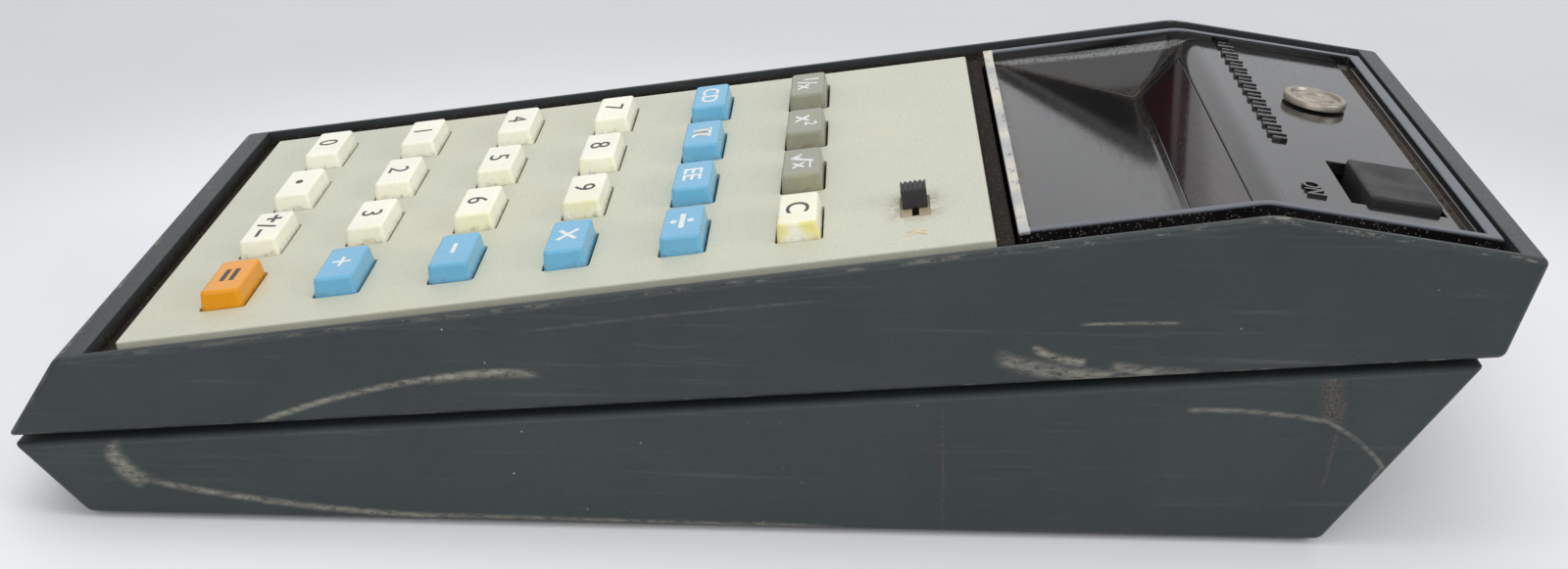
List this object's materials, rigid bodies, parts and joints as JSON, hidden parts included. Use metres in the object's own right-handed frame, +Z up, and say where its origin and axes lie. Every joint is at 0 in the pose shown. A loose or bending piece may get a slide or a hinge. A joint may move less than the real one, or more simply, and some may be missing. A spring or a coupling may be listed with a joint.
{
  "type": "pocket calculator",
  "caption": "Wedge-shaped pocket calculator with a hooded red display at the raised end, a cream plate of sprung keys and two slide switches.",
  "frame": {"origin": "centre of the underside, on the surface that the feet stand on", "axes": "+Z up, +Y from the front edge towards the display, +X to the user's right"},
  "size_m": [0.079, 0.1592, 0.0367],
  "materials": {
    "case_grey": "satin moulded plastic, slate grey, worn and scuffed",
    "plate_cream": "satin cream plastic",
    "bezel_black": "polished black plastic",
    "filter_red": "polished dark red transparent plastic",
    "badge_metal": "satin metal",
    "key_white": "satin ivory plastic",
    "key_blue": "satin light blue plastic",
    "key_grey": "satin warm grey plastic",
    "key_orange": "satin orange plastic",
    "switch_black": "textured black plastic",
    "foot_rubber": "matt rubber",
    "board_green": "circuit board laminate",
    "sheet_clear": "milky plastic film",
    "chip_black": "moulded black epoxy",
    "led_lens": "clear red lens",
    "cell_wrap": "metal can in a printed yellow sleeve",
    "holder_white": "natural nylon",
    "jack_black": "black plastic",
    "screw_steel": "zinc plated steel",
    "lead_red": "insulated wire",
    "lead_black": "insulated wire",
    "ribbon_amber": "flexible film"
  },
  "bodies": {
    "case": {"upper_case": "case_grey", "lower_case": "case_grey", "key_plate": "plate_cream", "display_bezel": "bezel_black", "display_filter": "filter_red", "badge": "badge_metal", "key_dome_sheet": "sheet_clear", "keyboard_board": "board_green", "keyboard_ribbon": "ribbon_amber", "main_board": "board_green", "calculator_chip": "chip_black", "segment_driver_chip": "chip_black", "digit_driver_chip": "chip_black", "display_board": "board_green", "led_display": "led_lens", "constant_switch_body": "switch_black", "power_switch_body": "switch_black", "battery_cell_1": "cell_wrap", "battery_cell_2": "cell_wrap", "battery_cell_3": "cell_wrap", "battery_holder": "holder_white", "battery_lead_red": "lead_red", "battery_lead_black": "lead_black", "charging_jack": "jack_black", "case_screw_1": "screw_steel", "foot_1": "foot_rubber", "case_screw_2": "screw_steel", "foot_2": "foot_rubber", "case_screw_3": "screw_steel", "foot_3": "foot_rubber", "case_screw_4": "screw_steel", "foot_4": "foot_rubber"},
    "key_0": {"key_0": "key_white"},
    "key_point": {"key_point": "key_white"},
    "key_sign": {"key_sign": "key_white"},
    "key_equals": {"key_equals": "key_orange"},
    "key_1": {"key_1": "key_white"},
    "key_2": {"key_2": "key_white"},
    "key_3": {"key_3": "key_white"},
    "key_plus": {"key_plus": "key_blue"},
    "key_4": {"key_4": "key_white"},
    "key_5": {"key_5": "key_white"},
    "key_6": {"key_6": "key_white"},
    "key_minus": {"key_minus": "key_blue"},
    "key_7": {"key_7": "key_white"},
    "key_8": {"key_8": "key_white"},
    "key_9": {"key_9": "key_white"},
    "key_multiply": {"key_multiply": "key_blue"},
    "key_clear_entry": {"key_clear_entry": "key_blue"},
    "key_pi": {"key_pi": "key_blue"},
    "key_exponent": {"key_exponent": "key_blue"},
    "key_divide": {"key_divide": "key_blue"},
    "key_reciprocal": {"key_reciprocal": "key_grey"},
    "key_square": {"key_square": "key_grey"},
    "key_root": {"key_root": "key_grey"},
    "key_clear": {"key_clear": "key_white"},
    "constant_switch_knob": {"constant_switch_knob": "switch_black"},
    "power_switch_knob": {"power_switch_knob": "switch_black"}
  },
  "joints": [
    {"name": "key_0_press", "type": "slide", "parent": "case", "child": "key_0", "axis": [0, 0.1444, -0.9895], "range_m": [0, 0.001], "stiffness_N_per_m": 40},
    {"name": "key_point_press", "type": "slide", "parent": "case", "child": "key_point", "axis": [0, 0.1444, -0.9895], "range_m": [0, 0.001], "stiffness_N_per_m": 40},
    {"name": "key_sign_press", "type": "slide", "parent": "case", "child": "key_sign", "axis": [0, 0.1444, -0.9895], "range_m": [0, 0.001], "stiffness_N_per_m": 40},
    {"name": "key_equals_press", "type": "slide", "parent": "case", "child": "key_equals", "axis": [0, 0.1444, -0.9895], "range_m": [0, 0.001], "stiffness_N_per_m": 40},
    {"name": "key_1_press", "type": "slide", "parent": "case", "child": "key_1", "axis": [0, 0.1444, -0.9895], "range_m": [0, 0.001], "stiffness_N_per_m": 40},
    {"name": "key_2_press", "type": "slide", "parent": "case", "child": "key_2", "axis": [0, 0.1444, -0.9895], "range_m": [0, 0.001], "stiffness_N_per_m": 40},
    {"name": "key_3_press", "type": "slide", "parent": "case", "child": "key_3", "axis": [0, 0.1444, -0.9895], "range_m": [0, 0.001], "stiffness_N_per_m": 40},
    {"name": "key_plus_press", "type": "slide", "parent": "case", "child": "key_plus", "axis": [0, 0.1444, -0.9895], "range_m": [0, 0.001], "stiffness_N_per_m": 40},
    {"name": "key_4_press", "type": "slide", "parent": "case", "child": "key_4", "axis": [0, 0.1444, -0.9895], "range_m": [0, 0.001], "stiffness_N_per_m": 40},
    {"name": "key_5_press", "type": "slide", "parent": "case", "child": "key_5", "axis": [0, 0.1444, -0.9895], "range_m": [0, 0.001], "stiffness_N_per_m": 40},
    {"name": "key_6_press", "type": "slide", "parent": "case", "child": "key_6", "axis": [0, 0.1444, -0.9895], "range_m": [0, 0.001], "stiffness_N_per_m": 40},
    {"name": "key_minus_press", "type": "slide", "parent": "case", "child": "key_minus", "axis": [0, 0.1444, -0.9895], "range_m": [0, 0.001], "stiffness_N_per_m": 40},
    {"name": "key_7_press", "type": "slide", "parent": "case", "child": "key_7", "axis": [0, 0.1444, -0.9895], "range_m": [0, 0.001], "stiffness_N_per_m": 40},
    {"name": "key_8_press", "type": "slide", "parent": "case", "child": "key_8", "axis": [0, 0.1444, -0.9895], "range_m": [0, 0.001], "stiffness_N_per_m": 40},
    {"name": "key_9_press", "type": "slide", "parent": "case", "child": "key_9", "axis": [0, 0.1444, -0.9895], "range_m": [0, 0.001], "stiffness_N_per_m": 40},
    {"name": "key_multiply_press", "type": "slide", "parent": "case", "child": "key_multiply", "axis": [0, 0.1444, -0.9895], "range_m": [0, 0.001], "stiffness_N_per_m": 40},
    {"name": "key_clear_entry_press", "type": "slide", "parent": "case", "child": "key_clear_entry", "axis": [0, 0.1444, -0.9895], "range_m": [0, 0.001], "stiffness_N_per_m": 40},
    {"name": "key_pi_press", "type": "slide", "parent": "case", "child": "key_pi", "axis": [0, 0.1444, -0.9895], "range_m": [0, 0.001], "stiffness_N_per_m": 40},
    {"name": "key_exponent_press", "type": "slide", "parent": "case", "child": "key_exponent", "axis": [0, 0.1444, -0.9895], "range_m": [0, 0.001], "stiffness_N_per_m": 40},
    {"name": "key_divide_press", "type": "slide", "parent": "case", "child": "key_divide", "axis": [0, 0.1444, -0.9895], "range_m": [0, 0.001], "stiffness_N_per_m": 40},
    {"name": "key_reciprocal_press", "type": "slide", "parent": "case", "child": "key_reciprocal", "axis": [0, 0.1444, -0.9895], "range_m": [0, 0.001], "stiffness_N_per_m": 40},
    {"name": "key_square_press", "type": "slide", "parent": "case", "child": "key_square", "axis": [0, 0.1444, -0.9895], "range_m": [0, 0.001], "stiffness_N_per_m": 40},
    {"name": "key_root_press", "type": "slide", "parent": "case", "child": "key_root", "axis": [0, 0.1444, -0.9895], "range_m": [0, 0.001], "stiffness_N_per_m": 40},
    {"name": "key_clear_press", "type": "slide", "parent": "case", "child": "key_clear", "axis": [0, 0.1444, -0.9895], "range_m": [0, 0.001], "stiffness_N_per_m": 40},
    {"name": "constant_switch_slide", "type": "slide", "parent": "case", "child": "constant_switch_knob", "axis": [1, 0, 0], "range_m": [0, 0.003]},
    {"name": "power_switch_slide", "type": "slide", "parent": "case", "child": "power_switch_knob", "axis": [0, -0.9895, 0.1444], "range_m": [0, 0.0016]}
  ]
}
